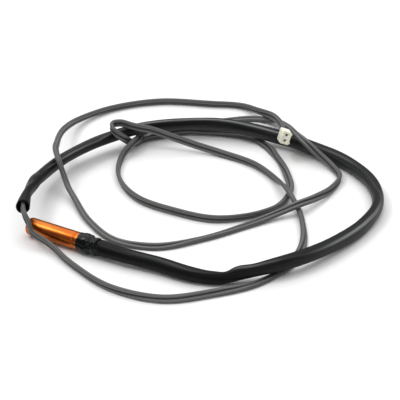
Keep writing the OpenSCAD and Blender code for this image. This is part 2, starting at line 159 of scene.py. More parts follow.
HOUSING_AXIS = np.array([math.cos(tilt) * math.cos(yaw), math.cos(tilt) * math.sin(yaw),
                         -math.sin(tilt)])
LEAD_ROUTE = [(BOOT_FROM, 0, HEAD_Z, ON_EDGE),
              *[(x, y, z, ON_EDGE + lean) for x, y, z, _, lean in SLEEVE_ROUTE],
              *FREE_ROUTE, (*HOUSING_BACK, -ON_EDGE - HOUSING_TURN[0]),
              (*(HOUSING_BACK + SLOT_DEPTH * HOUSING_AXIS), -ON_EDGE - HOUSING_TURN[0])]

LINE_STEP = 0.5
lead_line = smooth_route(LEAD_ROUTE, LINE_STEP)

# %% [markdown]
# ## Small helpers
#
# Colours are written as the hex codes that an eye picks from a picture. A shader works with linear
# light, so one function converts them. Another adds a node with its settings and its inputs, where
# an input is either a plain value or another node's output. The same function serves materials and
# geometry trees, so every recipe below reads as a short list of nodes.

# %% Helpers
def colour(code):
    parts = [int(code[i:i + 2], 16) / 255 for i in (1, 3, 5)]
    return (*[c / 12.92 if c <= 0.04045 else ((c + 0.055) / 1.055) ** 2.4 for c in parts], 1.0)


def put(tree, kind, settings=None, inputs=None):
    node = tree.nodes.new(kind)
    for name, value in (settings or {}).items():
        setattr(node, name, value)
    for socket, value in (inputs or {}).items():
        if isinstance(value, bpy.types.NodeSocket):
            tree.links.new(value, node.inputs[socket])
        else:
            node.inputs[socket].default_value = value
    return node


def new_object(name, data):
    made = bpy.data.objects.new(name, data)
    bpy.context.scene.collection.objects.link(made)
    return made


def plain_copy(source, name):
    """The evaluated shape of an object as a plain mesh of its own, with the first one removed"""
    evaluated = source.evaluated_get(bpy.context.evaluated_depsgraph_get())
    mesh = bpy.data.meshes.new_from_object(evaluated)
    bpy.data.objects.remove(source)
    mesh.name = name
    return new_object(name, mesh)


def volume_of(piece):
    shape = bmesh.new()
    shape.from_mesh(piece.data)
    volume = shape.calc_volume(signed=True)
    shape.free()
    return volume / MM**3


# %% [markdown]
# ## Materials: one Principled shader each
#
# Every material starts from the same few sockets of the Principled shader. What is the same all
# over is set there directly. What varies, such as patches or a fine grain, comes from a texture on
# Object coordinates, where one unit is a metre: a scale of 1000 puts one wave in each millimetre.
# The two cords use their own coordinates as well, which they store as an attribute.

# %% Material helper
def new_material(name, **sockets):
    material = bpy.data.materials.new(name)
    material.use_nodes = True
    tree = material.node_tree
    shader = tree.nodes["Principled BSDF"]
    for socket, value in sockets.items():
        shader.inputs[socket.replace("_", " ")].default_value = value
    return material, tree, shader


def object_noise(tree, size_mm, detail=3, stretch=(1, 1, 1)):
    """Noise whose lumps are about size_mm across"""
    place = put(tree, "ShaderNodeTexCoord")
    scaled = put(tree, "ShaderNodeMapping", inputs={
        "Vector": place.outputs["Object"], "Scale": stretch})
    return put(tree, "ShaderNodeTexNoise", inputs={
        "Vector": scaled.outputs["Vector"], "Scale": 1 / (size_mm * MM), "Detail": detail})


def graded(tree, source, *stops):
    """Colours by a texture's value; each stop is a value and a colour"""
    ramp = put(tree, "ShaderNodeValToRGB", inputs={"Fac": source})
    for i, (place, code) in enumerate(stops):
        element = ramp.color_ramp.elements[i] if i < 2 else ramp.color_ramp.elements.new(place)
        element.position = place
        element.color = colour(code)
    return ramp.outputs["Color"]


def between(tree, source, low, high, dark, light):
    """Two colours, mixed by a texture from low to high"""
    return graded(tree, source, (low, dark), (high, light))


def blended(tree, kind, share, a, b):
    """Two colours in one mix node; in colour mode they are inputs 6 and 7 and the result is 2"""
    mix = put(tree, "ShaderNodeMix", {"data_type": "RGBA", "blend_type": kind},
              {0: share, 6: a, 7: b})
    return mix.outputs[2]


def spread(tree, source, low, high):
    """A texture's 0.3 to 0.7 spread over low to high"""
    fitted = put(tree, "ShaderNodeMapRange", inputs={
        "Value": source, "From Min": 0.3, "From Max": 0.7, "To Min": low, "To Max": high})
    return fitted.outputs["Result"]


def roughen(tree, shader, height, depth_mm, strength=1.0):
    bump = put(tree, "ShaderNodeBump", inputs={
        "Height": height, "Distance": depth_mm * MM, "Strength": strength})
    tree.links.new(bump.outputs["Normal"], shader.inputs["Normal"])


# %% [markdown]
# ## Grey PVC of the lead
#
# The lead's jacket is extruded soft PVC, filled grey. It comes from the die with a satin skin that
# carries faint lines along its length, and handling leaves it slightly uneven. Its colour also holds
# painted light: the groove between the two crests is painted dark as shade, the crests are painted
# lighter as a highlight, and the edges a little darker again. All this needs the cord's own
# coordinates, so the lead stores them as an attribute: the distance along it, and the place round
# its section, where the groove is at 0 and the two edges are at -1 and 1.

# %% Lead material
LINE_SCALE = (120, 9, 9)  # waves of the noise: per metre along, and per unit of the section


def lead_pvc():
    material, tree, shader = new_material("extruded_grey_pvc", IOR=1.52)
    own = put(tree, "ShaderNodeAttribute", {"attribute_name": "lie"})
    drawn = put(tree, "ShaderNodeMapping", inputs={
        "Vector": own.outputs["Vector"], "Scale": LINE_SCALE})
    lines = put(tree, "ShaderNodeTexNoise", inputs={
        "Vector": drawn.outputs["Vector"], "Scale": 1.0, "Detail": 3})
    part = put(tree, "ShaderNodeSeparateXYZ", inputs={"Vector": own.outputs["Vector"]})
    across = put(tree, "ShaderNodeMath", {"operation": "ABSOLUTE"}, {0: part.outputs["Y"]})
    # Painted shade in the groove, a painted highlight on the crests, and the edges a little darker
    groove_shade_crest_highlight = graded(tree, across.outputs[0],
                  (0.04, "#262626"), (0.18, "#4c4d4c"), (0.5, "#7c7d7c"), (0.85, "#5c5d5c"))
    drawn_lines = between(tree, lines.outputs["Fac"], 0.3, 0.7, "#dcdcdc", "#ffffff")
    tree.links.new(blended(tree, "MULTIPLY", 1.0, groove_shade_crest_highlight, drawn_lines), shader.inputs["Base Color"])
    tree.links.new(spread(tree, lines.outputs["Fac"], 0.36, 0.5), shader.inputs["Roughness"])
    roughen(tree, shader, object_noise(tree, 0.6, 4).outputs["Fac"], 0.03, 0.5)
    return material


LEAD_PVC = lead_pvc()
print("made", LEAD_PVC.name)

# %% [markdown]
# ## The flat twin lead, swept with Geometry Nodes
#
# Two insulated wires are moulded side by side, 2.8 mm wide and 1.4 mm thick, with a groove between
# them on both faces. Its shape follows a rule all the way: one section, turned as it goes. So a
# small tree sweeps it. The section is a circle of points that is pushed into the twin form. Its
# half thickness at a distance w from the middle is that of a wire of radius r whose middle is r
# away, but never less than the web between the wires. The route comes in as a line of edges, and
# each of its points carries its own turn.

# %% A tree that sweeps a twin section along a line
def twin_sweep_tree():
    tree = bpy.data.node_groups.new("twin_sweep", "GeometryNodeTree")
    face = tree.interface
    face.new_socket("Geometry", in_out="INPUT", socket_type="NodeSocketGeometry")
    for name in ("Wire radius", "Web"):
        face.new_socket(name, in_out="INPUT", socket_type="NodeSocketFloat")
    face.new_socket("Sides", in_out="INPUT", socket_type="NodeSocketInt")
    face.new_socket("Material", in_out="INPUT", socket_type="NodeSocketMaterial")
    face.new_socket("Geometry", in_out="OUTPUT", socket_type="NodeSocketGeometry")
    given = put(tree, "NodeGroupInput")

    def maths(operation, *values):
        node = put(tree, "ShaderNodeMath", {"operation": operation}, dict(enumerate(values)))
        return node.outputs[0]

    circle = put(tree, "GeometryNodeCurvePrimitiveCircle", inputs={
        "Resolution": given.outputs["Sides"], "Radius": 1.0})
    unit = put(tree, "ShaderNodeSeparateXYZ", inputs={
        "Vector": put(tree, "GeometryNodeInputPosition").outputs["Position"]})
    radius = given.outputs["Wire radius"]
    w = maths("MULTIPLY", unit.outputs["X"], maths("MULTIPLY", radius, 2.0))
    from_wire = maths("SUBTRACT", maths("ABSOLUTE", w), radius)
    chord = maths("SUBTRACT", maths("MULTIPLY", radius, radius),
                  maths("MULTIPLY", from_wire, from_wire))
    half = maths("MAXIMUM", maths("SQRT", maths("MAXIMUM", chord, 0.0)),
                 maths("MULTIPLY", given.outputs["Web"], maths("ABSOLUTE", unit.outputs["Y"])))
    section_point = put(tree, "ShaderNodeCombineXYZ", inputs={
        "X": w, "Y": maths("MULTIPLY", half, maths("SIGN", unit.outputs["Y"]))})
    section_place = put(tree, "GeometryNodeCaptureAttribute", inputs={0: circle.outputs["Curve"]})
    section_place.capture_items.new("VECTOR", "place")
    before = put(tree, "GeometryNodeInputPosition")
    tree.links.new(before.outputs["Position"], section_place.inputs["place"])
    section = put(tree, "GeometryNodeSetPosition", inputs={
        "Geometry": section_place.outputs["Geometry"], "Position": section_point.outputs["Vector"]})

    line = put(tree, "GeometryNodeMeshToCurve", inputs={"Mesh": given.outputs["Geometry"]})
    level = put(tree, "GeometryNodeSetCurveNormal", {"mode": "Z_UP"},
                {"Curve": line.outputs["Curve"]})
    turn = put(tree, "GeometryNodeInputNamedAttribute", {"data_type": "FLOAT"}, {"Name": "turn"})
    tilted = put(tree, "GeometryNodeSetCurveTilt", inputs={
        "Curve": level.outputs["Curve"], "Tilt": turn.outputs["Attribute"]})
    distance = put(tree, "GeometryNodeCaptureAttribute", inputs={0: tilted.outputs["Curve"]})
    distance.capture_items.new("FLOAT", "along")
    so_far = put(tree, "GeometryNodeSplineParameter")
    tree.links.new(so_far.outputs["Length"], distance.inputs["along"])
    swept = put(tree, "GeometryNodeCurveToMesh", inputs={
        "Curve": distance.outputs["Geometry"], "Profile Curve": section.outputs["Geometry"],
        "Fill Caps": True})
    own = put(tree, "ShaderNodeSeparateXYZ", inputs={"Vector": section_place.outputs["place"]})
    lie = put(tree, "ShaderNodeCombineXYZ", inputs={
        "X": distance.outputs["along"], "Y": own.outputs["X"], "Z": own.outputs["Y"]})
    stored = put(tree, "GeometryNodeStoreNamedAttribute",
                 {"data_type": "FLOAT_VECTOR", "domain": "POINT"},
                 {"Geometry": swept.outputs["Mesh"], "Name": "lie", "Value": lie.outputs["Vector"]})
    smooth = put(tree, "GeometryNodeSetShadeSmooth", inputs={
        "Geometry": stored.outputs["Geometry"]})
    real = put(tree, "GeometryNodeRealizeInstances", inputs={
        "Geometry": smooth.outputs["Geometry"]})
    dressed = put(tree, "GeometryNodeSetMaterial", inputs={
        "Geometry": real.outputs["Geometry"], "Material": given.outputs["Material"]})
    put(tree, "NodeGroupOutput", inputs={"Geometry": dressed.outputs["Geometry"]})
    return tree


TWIN_SWEEP = twin_sweep_tree()
print("sweep tree with", len(TWIN_SWEEP.nodes), "nodes")

# %% Lay the lead
LEAD_WIDTH = 2.8
WIRE_R = LEAD_WIDTH / 4
WEB_HALF = 0.16
LEAD_SIDES = 32


def run_tree(source, tree, name, **values):
    """Runs a tree on an object and gives the result as a plain mesh"""
    modifier = source.modifiers.new(name, "NODES")
    modifier.node_group = tree
    for item in tree.interface.items_tree:
        if item.in_out == "INPUT" and item.name in values:
            modifier[item.identifier] = values[item.name]
    return plain_copy(source, name)


def laid_line(name, line):
    count = len(line)
    mesh = bpy.data.meshes.new(name)
    mesh.from_pydata((line[:, :3] * MM).tolist(), [(i, i + 1) for i in range(count - 1)], [])
    turn = mesh.attributes.new("turn", "FLOAT", "POINT")
    turn.data.foreach_set("value", np.radians(-line[:, 3]).astype(np.float32))
    return new_object(name, mesh)


lead = run_tree(laid_line("lead_line", lead_line), TWIN_SWEEP, "twin_lead", **{
    "Wire radius": WIRE_R * MM, "Web": WEB_HALF * MM, "Sides": LEAD_SIDES, "Material": LEAD_PVC})
print("lead:", len(lead.data.polygons), "faces, volume", round(volume_of(lead)), "mm3")
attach(lead, "root")
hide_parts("lead")

# %% [markdown]
# ## Black PVC sleeving
#
# The sleeve is soft extruded PVC tube, black, with a satin skin. It has many faint lengthwise
# scuffs, which come from a noise that is stretched along the tube. Its creases get a painted grey
# highlight, and the rest gets grey that is partly dust and partly painted reflected light. So the
# skin carries a second attribute that mixes grey into the black: 1 or more on a sharp crease, and up
# to about 0.3 elsewhere.

# %% Sleeve material
SCUFF_SCALE = (70, 5, 5)  # waves of the noise: per metre along, and per unit of the section


def black_sleeving():
    material, tree, shader = new_material("black_pvc_sleeving", IOR=1.5, Specular_IOR_Level=0.18)
    own = put(tree, "ShaderNodeAttribute", {"attribute_name": "lie"})
    drawn = put(tree, "ShaderNodeMapping", inputs={
        "Vector": own.outputs["Vector"], "Scale": SCUFF_SCALE})
    streaks = put(tree, "ShaderNodeTexNoise", inputs={
        "Vector": drawn.outputs["Vector"], "Scale": 1.0, "Detail": 5, "Roughness": 0.65})
    sheen_and_dust = put(tree, "ShaderNodeAttribute", {"attribute_name": "sheen_and_dust"}).outputs["Fac"]
    black = between(tree, streaks.outputs["Fac"], 0.35, 0.72, "#090a0a", "#181818")
    grey = between(tree, streaks.outputs["Fac"], 0.3, 0.7, "#5c5e5d", "#9a9c9b")
    # Grey mixed into the black: a painted highlight on the creases, elsewhere partly dust and partly
    # painted reflected light
    tree.links.new(blended(tree, "MIX", sheen_and_dust, black, grey), shader.inputs["Base Color"])
    tree.links.new(spread(tree, streaks.outputs["Fac"], 0.34, 0.5), shader.inputs["Roughness"])
    roughen(tree, shader, object_noise(tree, 0.5, 4).outputs["Fac"], 0.04, 0.6)
    return material


SLEEVING = black_sleeving()
print("made", SLEEVING.name)

# %% [markdown]
# ## The soft sleeve
#
# A real sleeve is never a perfect tube. It was stored flat on a reel, so it keeps creases that run
# along it and wander slowly round it. It goes oval in the bends, buckles where it is bent most and
# is stretched where it is pulled over the boot. All of that is a matter of how far each point of
# the skin lies from the middle, so the tube is built ring by ring, with one function that gives
# that distance. The inner wall has the same form, less the wall's thickness, except in the deepest
# dents, where the lead keeps the bore open.

# %% Rings along a line
def frames_along(line):
    """The level side and the axis square to it at each point of a line"""
    ahead = np.gradient(line[:, :3], axis=0)
    ahead /= np.linalg.norm(ahead, axis=1)[:, None]
    side = np.cross(ahead, (0, 0, 1))
    side /= np.linalg.norm(side, axis=1)[:, None]
    return side, np.cross(ahead, side)


def grid_mesh(name, rings, closed_ends=False):
    """A skin over rings of points in mm, each closed round; the last ring may meet the first"""
    count, sides = rings.shape[:2]
    faces = []
    last = count if closed_ends else count - 1
    for i in range(last):
        for k in range(sides):
            a, b = i * sides + k, i * sides + (k + 1) % sides
            c, d = (b + sides) % (count * sides), (a + sides) % (count * sides)
            faces.append((a, b, c, d))
    mesh = bpy.data.meshes.new(name)
    mesh.from_pydata((rings.reshape(-1, 3) * MM).tolist(), [], faces)
    mesh.shade_smooth()
    return mesh


def bump(x, centre, width):
    return np.exp(-((x - centre) / width) ** 2)


def turn_bump(angle, centre, width):
    """A bump round the section: 0 is the right side, 90 the bottom and 270 the top"""
    away = (angle - centre + 180) % 360 - 180
    return np.exp(-(away / width) ** 2)


# %% The form of the sleeve's skin
SLEEVE_R = 2.5
SLEEVE_WALL = 0.5
SLEEVE_SIDES = 48
SKIN_STEP = 0.8
STRETCH = 0.3  # added to the radius where the sleeve goes over the boot's tail
TAIL_LEN = 7.0
FREED_OVER = 6  # behind the tail, the distance over which the skin is free to wave
GROWTH = 0.5  # this share of what the oval loses across is added to its wide way
# Each pinch: how far along, its length, the angle round the section, its width and its depth
PINCHES = [(40, 5, 245, 50, 0.6), (44.5, 2.5, 245, 50, 0.8), (50, 3.5, 245, 50, -0.5),
           (52, 7, 65, 50, 0.85), (286, 4, 150, 45, 0.5), (291, 3, 310, 25, 0.45),
           (297, 5, 350, 45, 0.6), (296, 5, 170, 45, 0.5), (285, 3.5, 0, 35, -0.35),
           (279, 6, 30, 35, 0.3), (273, 6, 290, 14, 0.25), (282, 2.5, 290, 40, 0.3),
           (297, 3, 275, 18, -0.3), (124, 5, 250, 14, 0.15), (128, 5, 285, 14, 0.12)]
# Each place of the main crease: how far along, the angle round the section, and how sharp it is,
# which also sets its painted grey highlight
CREASE = [(8, 290, 0), (14, 290, 0.2), (26, 290, 0.25), (34, 303, 0.15), (41, 308, 0.05),
          (46, 275, 0.1), (49, 280, 0.6), (53, 288, 0.7), (58, 294, 0.45), (64, 300, 0.1),
          (72, 317, 0.2), (80, 322, 0.7), (88, 319, 1.4), (98, 316, 1.8), (109, 310, 1.4),
          (117, 295, 0.3), (128, 243, 0.1), (140, 240, 0.1), (147, 239, 0.3), (156, 236, 0.35),
          (164, 236, 0.2), (170, 242, 0.7), (180, 238, 0.9), (190, 250, 1), (200, 270, 1.1),
          (210, 286, 1.1), (230, 302, 0.8), (240, 300, 0.4), (248, 268, 0.5), (256, 268, 0.7),
          (263, 268, 0.7), (272, 275, 0.4), (280, 285, 0), (307, 275, 0)]
CREASE_H = 0.2
CREASE_W = 9
VALLEY_BEFORE, VALLEY_W = 40, 22  # the hollow beside the crest, in degrees round the section
# How much grey is mixed in all round, by the distance along it: partly dust and partly painted
# reflected light
DUST_AND_REFLECTION = [(0, 0), (45, 0), (66, 0.04), (80, 0.08), (96, 0.14), (108, 0.22), (118, 0.26),
         (140, 0.28), (165, 0.28), (190, 0.2), (230, 0.2), (245, 0.22), (262, 0.2), (270, 0.12),
         (307, 0.12)]
TOP_KEPT_DARK_AT, TOP_KEPT_DARK_W, TOP_KEPT_DARK_SHARE = 265, 50, 0.9  # the painted reflected light is kept off the top
# The hollow beside each crease gets less grey, as painted shade
VALLEY_SHADE = 0.8
# Two faint waves in the skin: the height, and the two lengths that each wanders over
SWELL_H, SWELL_WIND, SWELL_FADE = 0.045, 5.3, 13
RIPPLE_H, RIPPLE_WIND, RIPPLE_FADE = 0.03, 21, 3.1
BORE_DENT = 0.7  # the lead inside keeps the bore open, so a deeper dent thins the wall
LIP_RINGS = 3
LIP_BULGE = 0.12
TABLE_GAP = 0.02  # the sleeve and the boot are flattened this far above the table
print(len(PINCHES), "pinches and", len(CREASE), "places of the main crease")

# %% Skin of the sleeve
def sleeve_skin(line):
    steps = np.linalg.norm(np.diff(line[:, :3], axis=0), axis=1)
    at = np.concatenate([[0], np.cumsum(steps)])[:, None]
    share = line[:, 3:4]
    angle = np.arange(SLEEVE_SIDES)[None, :] * 360 / SLEEVE_SIDES
    stretch = STRETCH * np.clip(1 - at / TAIL_LEN, 0, 1)
    half_w = SLEEVE_R * share + stretch
    half_t = SLEEVE_R * (1 + GROWTH * (1 - share)) + stretch
    places, angles, sharpness = np.array(CREASE, float).T
    crease_at, sharp = np.interp(at, places, angles), np.interp(at, places, sharpness)
    freed = np.clip((at - TAIL_LEN) / FREED_OVER, 0, 1)
    # The crest is raised in the relief and also painted grey as a highlight; the hollow beside it
    # gets less grey, as painted shade
    crest = sharp * turn_bump(angle, crease_at, CREASE_W)
    valley = np.minimum(sharp, 1) * turn_bump(angle, crease_at - VALLEY_BEFORE, VALLEY_W)
    # Grey all round, partly dust and partly painted reflected light, kept off the top
    dust_and_reflection = np.interp(at, *np.array(DUST_AND_REFLECTION, float).T) * (
        1 - TOP_KEPT_DARK_SHARE * turn_bump(angle, TOP_KEPT_DARK_AT, TOP_KEPT_DARK_W))
    sheen_and_dust = crest + dust_and_reflection * (1 - VALLEY_SHADE * valley)
    relief = CREASE_H * (crest - valley
                         + freed * turn_bump(angle, crease_at + 180, CREASE_W))
    wave = np.radians(angle)
    lean = np.radians(line[:, 4:5])
    relief = relief + (SWELL_H * freed * np.sin(at / SWELL_WIND + 2 * wave)
                       * np.sin(at / SWELL_FADE + 1))
    relief = relief + (RIPPLE_H * freed * np.sin(3 * wave + at / RIPPLE_WIND)
                       * np.sin(at / RIPPLE_FADE))
    for along, length, where, width, depth in PINCHES:
        relief = relief - depth * bump(at, along, length) * turn_bump(angle, where, width)
    side, third = frames_along(line)
    narrow = side * np.cos(lean) - third * np.sin(lean)
    wide = side * np.sin(lean) + third * np.cos(lean)
    centre = line[:, None, :3]

    def ring(shrink, relief):
        across = (half_w + relief - shrink) * np.cos(wave)
        down = (half_t + relief - shrink) * np.sin(wave)
        return centre + across[..., None] * narrow[:, None] + down[..., None] * wide[:, None]

    outer = ring(0, relief)
    inner = ring(SLEEVE_WALL, np.maximum(relief, -BORE_DENT))

    def rounded(i, way):
        """Rings over the cut end, bulged a little, from the outer wall to the inner"""
        out = line[i, :3] - line[i - way, :3]
        out = out / np.linalg.norm(out)
        return [outer[i] + (inner[i] - outer[i]) * s + out * LIP_BULGE * math.sin(math.pi * s)
                for s in np.linspace(0, 1, LIP_RINGS + 2)[1:-1]]

    rings = [*outer, *rounded(len(line) - 1, 1), *inner[::-1], *rounded(0, -1)[::-1]]
    lie = np.stack(np.broadcast_arrays(at, np.cos(wave), np.sin(wave)), axis=-1)
    lies = [*lie, *[lie[-1]] * LIP_RINGS, *lie[::-1], *[lie[0]] * LIP_RINGS]
    sheen_and_dust_rings = [*sheen_and_dust, *np.zeros((len(rings) - len(sheen_and_dust), SLEEVE_SIDES))]
    rings = np.array(rings)
    rings[..., 2] = np.maximum(rings[..., 2], TABLE_GAP)
    return rings, np.array(lies), np.array(sheen_and_dust_rings)


rings, lies, sheen_and_dust_rings = sleeve_skin(smooth_route(SLEEVE_ROUTE, SKIN_STEP))
sleeve = new_object("sleeve_tube", grid_mesh("sleeve_tube", rings, closed_ends=True))
own = sleeve.data.attributes.new("lie", "FLOAT_VECTOR", "POINT")
own.data.foreach_set("vector", (lies.reshape(-1, 3) * (MM, 1, 1)).ravel().astype(np.float32))
sheen_and_dust_layer = sleeve.data.attributes.new("sheen_and_dust", "FLOAT", "POINT")
sheen_and_dust_layer.data.foreach_set("value", sheen_and_dust_rings.ravel().astype(np.float32))
sleeve.data.materials.append(SLEEVING)
print("sleeve:", len(sleeve.data.polygons), "faces, volume", round(volume_of(sleeve)), "mm3")
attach(sleeve, "root")
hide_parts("sleeve")

# %% [markdown]
# ## Drawn copper
#
# The capsule is a copper tube, closed by drawing or spinning, and left bare. Copper colours its own
# reflections, so the colour sits in a fully metallic shader. Handling leaves it slightly browned in
# patches, and the drawing leaves fine lines along it, which blur a reflection lengthwise.

# %% Copper
def drawn_copper():
    material, tree, shader = new_material("drawn_copper", Metallic=1.0)
    patches = object_noise(tree, 5, 4, (0.5, 1, 1))
    tree.links.new(between(tree, patches.outputs["Fac"], 0.35, 0.7, "#b86029", "#c87b3a"),
                   shader.inputs["Base Color"])
    fine = object_noise(tree, 0.35, 4, (0.06, 1, 1))
    tree.links.new(spread(tree, fine.outputs["Fac"], 0.24, 0.36), shader.inputs["Roughness"])
    roughen(tree, shader, fine.outputs["Fac"], 0.005, 0.3)
    return material


COPPER = drawn_copper()
print("made", COPPER.name)

# %% [markdown]
# ## The capsule
#
# The capsule is one shell of revolution: a closed tip with a drawn corner, a straight wall, a
# shallow groove rolled in to grip the resin, and an open mouth under the boot. Its outline is a
# short list of points with arcs at the corners, and it is spun in even steps, so that a reflection
# runs smoothly along it. Each point of an outline is its distance from the tip and its radius.

# %% Spin an outline round the head's axis
SPIN_STEPS = 96


def spun(name, outline):
    turn = np.arange(SPIN_STEPS) * 2 * math.pi / SPIN_STEPS
    rings = [[(CAPSULE_TIP + x, -r * math.cos(t), HEAD_Z + r * math.sin(t)) for t in turn]
             for x, r in outline]
    return grid_mesh(name, np.array(rings))


def arc(x, r, radius, start, end, steps=10):
    angles = [math.radians(start + (end - start) * i / steps) for i in range(steps + 1)]
    return [(x + radius * math.cos(a), r + radius * math.sin(a)) for a in angles]


# %% Capsule
CAPSULE_R = CAPSULE_D / 2
WALL = 0.4
MOUTH_BREAK = 0.1  # the outer edge of the mouth is broken by this much
TIP_ROUND = 1.2
GROOVE_FROM = 18.3
GROOVE_W = 0.8
GROOVE_DEPTH = 0.15
GROOVE_STEPS = 8


def groove(r):
    shares = [i / GROOVE_STEPS for i in range(GROOVE_STEPS + 1)]
    return [(GROOVE_FROM + GROOVE_W * s, r - GROOVE_DEPTH * math.sin(math.pi * s) ** 2)
            for s in shares]


def close_poles(mesh):
    """Merges the points that meet on the axis and turns all faces outwards"""
    shape = bmesh.new()
    shape.from_mesh(mesh)
    bmesh.ops.remove_doubles(shape, verts=shape.verts, dist=1e-7)
    bmesh.ops.dissolve_degenerate(shape, dist=1e-8, edges=shape.edges)
    bmesh.ops.recalc_face_normals(shape, faces=shape.faces)
    if shape.calc_volume(signed=True) < 0:
        bmesh.ops.reverse_faces(shape, faces=shape.faces)
    shape.to_mesh(mesh)
    shape.free()
    mesh.shade_smooth()


inner_r = CAPSULE_R - WALL
outline = [(0, 0), (0, 0.9), *arc(TIP_ROUND, CAPSULE_R - TIP_ROUND, TIP_ROUND, 180, 90),
           (6, CAPSULE_R), (12, CAPSULE_R), *groove(CAPSULE_R),
           (CAPSULE_LEN - MOUTH_BREAK, CAPSULE_R), (CAPSULE_LEN, CAPSULE_R - MOUTH_BREAK),
           (CAPSULE_LEN, inner_r), *groove(inner_r)[::-1], (6, inner_r),
           *arc(TIP_ROUND, CAPSULE_R - TIP_ROUND, TIP_ROUND - WALL, 90, 180),
           (WALL, 0.6), (WALL, 0)]
capsule = new_object("capsule_shell", spun("capsule_shell", outline))
close_poles(capsule.data)
capsule.data.materials.append(COPPER)
print("capsule:", len(capsule.data.polygons), "faces, volume", round(volume_of(capsule)), "mm3")
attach(capsule, "root")
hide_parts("capsule")

# %% [markdown]
# ## The shrunk boot
#
# Heat-shrink tube is black polyolefin. Hot air draws it tight over whatever lies under it, so it
# shows the capsule's mouth as one lump and what fills it behind the mouth as another, and it turns
# glossy. The boot is spun like the capsule, then each point of its outside is sunk a little by a
# few waves, because a hand-held heat gun never shrinks a tube evenly.

# %% Boot material
def shrunk_polyolefin():
    material, tree, shader = new_material("shrunk_polyolefin", IOR=1.5, Specular_IOR_Level=0.3)
    cloud = object_noise(tree, 2.5, 3)
    tree.links.new(between(tree, cloud.outputs["Fac"], 0.35, 0.7, "#050807", "#0d1312"),
                   shader.inputs["Base Color"])
    tree.links.new(spread(tree, cloud.outputs["Fac"], 0.1, 0.2), shader.inputs["Roughness"])
    roughen(tree, shader, object_noise(tree, 1.1, 2).outputs["Fac"], 0.06, 0.6)
    return material


SHRUNK = shrunk_polyolefin()
print("made", SHRUNK.name)

# %% Boot
BOOT_AT = BOOT_FROM - CAPSULE_TIP
SLEEVE_AT = SLEEVE_FROM - CAPSULE_TIP
BOOT_END = BOOT_TO - CAPSULE_TIP
TAIL_R0 = 2.25
TAIL_R1 = 2.0
BORE_R = 1.45
BORE_MOUTH_R = 1.5
BORE_MOUTH_LEN = 6
FIT = 0.02  # between the boot and the capsule
EDGE = 0.12  # the boot's front edge is this thick, and rounded over as much
# Crests and waists: how far from the edge to the sleeve, as a share, and the radius there
LUMPS = [(0.0, 3.2), (0.26, 3.48), (0.46, 3.4), (0.64, 2.8), (0.8, 3.2), (0.97, TAIL_R0)]
LUMP_STEPS = 10
OUTSIDE_R = CAPSULE_R + 0.06  # points farther out than this are sunk by the waves
# Each wave round the boot: its height, how often it goes round, its turn per mm and its start
WAVES = [(1, 2, 0.9, 0), (0.7, 3, -1.7, 1), (0.5, 5, 2.3, 2)]
UNEVEN_DEPTH = 0.06
FADE_FRONT, FADE_BACK = 1.5, 1.0


def boot_outline():
    points = [(BOOT_AT, CAPSULE_R + FIT), (BOOT_AT + 0.03, CAPSULE_R + EDGE)]
    span = SLEEVE_AT - BOOT_AT
    for (a, ra), (b, rb) in zip(LUMPS, LUMPS[1:]):
        for k in range(LUMP_STEPS):
            ease = (1 - math.cos(math.pi * k / LUMP_STEPS)) / 2
            points.append((BOOT_AT + EDGE + (span - EDGE) * (a + (b - a) * k / LUMP_STEPS),
                           ra + (rb - ra) * ease))
    return [*points, (SLEEVE_AT, TAIL_R0), (BOOT_END, TAIL_R1), (BOOT_END, BORE_MOUTH_R),
            (BOOT_END - BORE_MOUTH_LEN, BORE_R), (CAPSULE_LEN + FIT, BORE_R),
            (CAPSULE_LEN + FIT, CAPSULE_R), (BOOT_AT + 3, CAPSULE_R + 0.005),
            (BOOT_AT, CAPSULE_R + FIT)]


def uneven(piece, depth):
    """Sinks the boot's outside towards the axis by up to about 3 depths, and not at its ends"""
    for v in piece.data.vertices:
        x, y, z = v.co.x / MM, v.co.y / MM, v.co.z / MM - HEAD_Z
        r = math.hypot(y, z)
        t = math.atan2(z, y)
        middle = (np.clip((x - BOOT_FROM) / FADE_FRONT, 0, 1)
                  * np.clip((SLEEVE_FROM - x) / FADE_BACK, 0, 1))
        if r > OUTSIDE_R and middle > 0:
            wave = sum(height * math.sin(times * t + x * pitch + start)
                       for height, times, pitch, start in WAVES)
            r_new = r + depth * middle * (min(wave, 1) - 1)
            v.co.y, v.co.z = y * r_new / r * MM, (z * r_new / r + HEAD_Z) * MM
        v.co.z = max(v.co.z, TABLE_GAP * MM)
    piece.data.update()


boot = new_object("shrunk_boot", spun("shrunk_boot", boot_outline()))
close_poles(boot.data)
uneven(boot, UNEVEN_DEPTH)
boot.data.materials.append(SHRUNK)
print("boot:", len(boot.data.polygons), "faces, volume", round(volume_of(boot)), "mm3")
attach(boot, "root")
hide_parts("boot")

# %% [markdown]
# ## Natural nylon
#
# The housing is unfilled nylon, moulded without pigment. It is milky: some light goes in and
# scatters, which warms its shadows. A low subsurface weight gives that, with a satin skin.

# %% Nylon
def natural_nylon():
    material, tree, shader = new_material(
        "natural_nylon", Roughness=0.38, IOR=1.53, Subsurface_Weight=0.25, Subsurface_Scale=0.0006)
    cloud = object_noise(tree, 1.6, 2)
    tree.links.new(between(tree, cloud.outputs["Fac"], 0.3, 0.7, "#f6f3dc", "#fffdf0"),
                   shader.inputs["Base Color"])
    roughen(tree, shader, object_noise(tree, 0.12, 3).outputs["Fac"], 0.01, 0.5)
    return material


NYLON = natural_nylon()
print("made", NYLON.name)

# %% [markdown]
# ## The connector housing
#
# The CAD housing already has the ribs, the cavities, the pin holes and the lance windows. What it
# lacks is the small radius that every moulded edge has, and that catches the light. A copy of the
# solid is cleaned up, its flat faces are made whole again, and a bevel rounds its edges.

# %% Housing with rounded edges
EDGE_ROUND = 0.07
ROUND_SEGMENTS = 3


